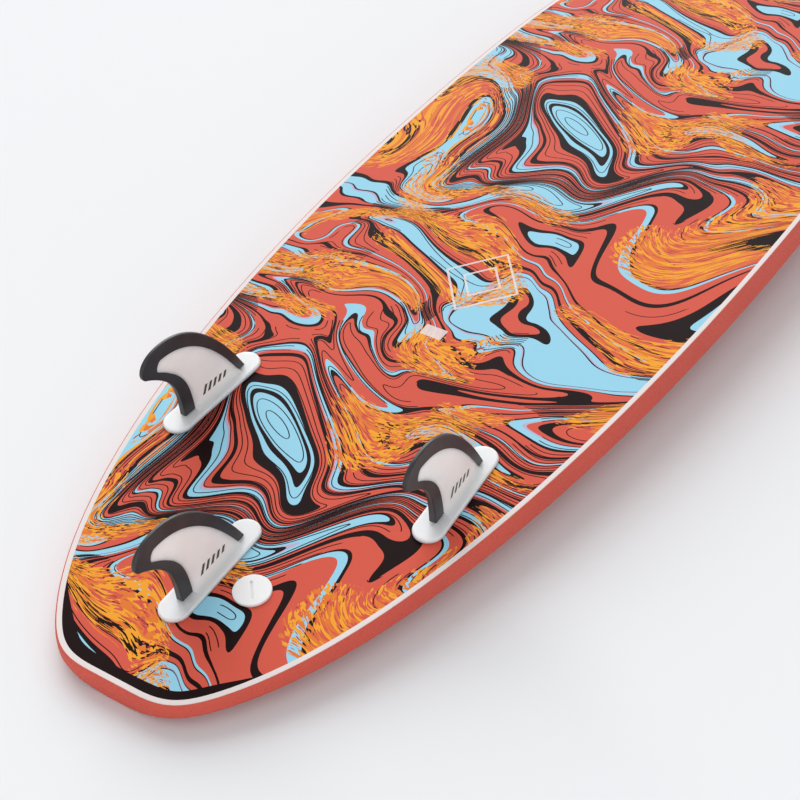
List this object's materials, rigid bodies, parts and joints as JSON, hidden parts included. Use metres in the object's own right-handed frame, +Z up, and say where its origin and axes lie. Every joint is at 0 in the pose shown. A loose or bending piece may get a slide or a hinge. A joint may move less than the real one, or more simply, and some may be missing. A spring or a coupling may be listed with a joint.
{
  "type": "surfboard",
  "caption": "Soft-top surfboard with a squash tail, foam deck and rails, a marbled slick hull, bolted flexible fins and a leash plug.",
  "frame": {"origin": "middle of the footprint, on the floor that the board lies on, deck down", "axes": "+Y towards the nose, +Z up, away from the floor, the side of the hull and fins; +X across, towards the side of the leash bolt. The hull's flat run is pitched nose up by 2.2 degrees, because the board rests on its tail and nose."},
  "size_m": [0.551, 2.1356, 0.1724],
  "materials": {
    "deck_foam": "coral closed-cell foam with a fine pebbled skin",
    "printed_sheet": "satin polyethylene sheet, marbled print in coral, sky blue, amber and black, white border",
    "core_foam": "white expanded polystyrene beads",
    "plywood": "bare birch plywood",
    "white_plastic": "white moulded plastic, satin",
    "soft_edge": "smoky charcoal soft moulding, satin",
    "brass": "bare brass",
    "steel": "plain stainless steel"
  },
  "bodies": {
    "board": {"deck_skin": "deck_foam", "hull_sheet": "printed_sheet", "foam_outer_left": "core_foam", "foam_inner_left": "core_foam", "foam_inner_right": "core_foam", "foam_outer_right": "core_foam", "stringer_left": "plywood", "stringer_centre": "plywood", "stringer_right": "plywood", "centre_fin_tubes": "white_plastic", "left_fin_tubes": "white_plastic", "right_fin_tubes": "white_plastic", "leash_cup": "white_plastic", "leash_bar": "steel"},
    "centre_fin": {"centre_fin_body": "white_plastic", "centre_fin_edge": "soft_edge", "centre_fin_inserts": "brass"},
    "centre_fin_rear_screw": {"centre_fin_rear_screw": "steel"},
    "centre_fin_front_screw": {"centre_fin_front_screw": "steel"},
    "left_fin": {"left_fin_body": "white_plastic", "left_fin_edge": "soft_edge", "left_fin_inserts": "brass"},
    "left_fin_rear_screw": {"left_fin_rear_screw": "steel"},
    "left_fin_front_screw": {"left_fin_front_screw": "steel"},
    "right_fin": {"right_fin_body": "white_plastic", "right_fin_edge": "soft_edge", "right_fin_inserts": "brass"},
    "right_fin_rear_screw": {"right_fin_rear_screw": "steel"},
    "right_fin_front_screw": {"right_fin_front_screw": "steel"},
    "leash_bolt": {"leash_bolt": "white_plastic"}
  },
  "joints": [
    {"name": "centre_fin_pull", "type": "slide", "parent": "board", "child": "centre_fin", "axis": [0, -0.0881, 0.9961], "range_m": [0, 0.06]},
    {"name": "centre_fin_rear_screw_turn", "type": "hinge", "parent": "board", "child": "centre_fin_rear_screw", "pos_m": [0, -0.96675, 0.03779], "axis": [0, -0.0881, 0.9961], "continuous": true},
    {"name": "centre_fin_front_screw_turn", "type": "hinge", "parent": "board", "child": "centre_fin_front_screw", "pos_m": [0, -0.85349, 0.04781], "axis": [0, -0.0881, 0.9961], "continuous": true},
    {"name": "left_fin_pull", "type": "slide", "parent": "board", "child": "left_fin", "axis": [0, -0.0739, 0.9973], "range_m": [0, 0.06]},
    {"name": "left_fin_rear_screw_turn", "type": "hinge", "parent": "board", "child": "left_fin_rear_screw", "pos_m": [-0.16188, -0.75874, 0.05551], "axis": [0, -0.0739, 0.9973], "continuous": true},
    {"name": "left_fin_front_screw_turn", "type": "hinge", "parent": "board", "child": "left_fin_front_screw", "pos_m": [-0.15612, -0.64549, 0.06389], "axis": [0, -0.0739, 0.9973], "continuous": true},
    {"name": "right_fin_pull", "type": "slide", "parent": "board", "child": "right_fin", "axis": [0, -0.0739, 0.9973], "range_m": [0, 0.06]},
    {"name": "right_fin_rear_screw_turn", "type": "hinge", "parent": "board", "child": "right_fin_rear_screw", "pos_m": [0.16188, -0.75874, 0.05551], "axis": [0, -0.0739, 0.9973], "continuous": true},
    {"name": "right_fin_front_screw_turn", "type": "hinge", "parent": "board", "child": "right_fin_front_screw", "pos_m": [0.15612, -0.64549, 0.06389], "axis": [0, -0.0739, 0.9973], "continuous": true},
    {"name": "leash_bolt_turn", "type": "hinge", "parent": "board", "child": "leash_bolt", "pos_m": [0.0526, -0.91112, 0.04271], "axis": [0, -0.0882, 0.9961], "continuous": true}
  ]
}
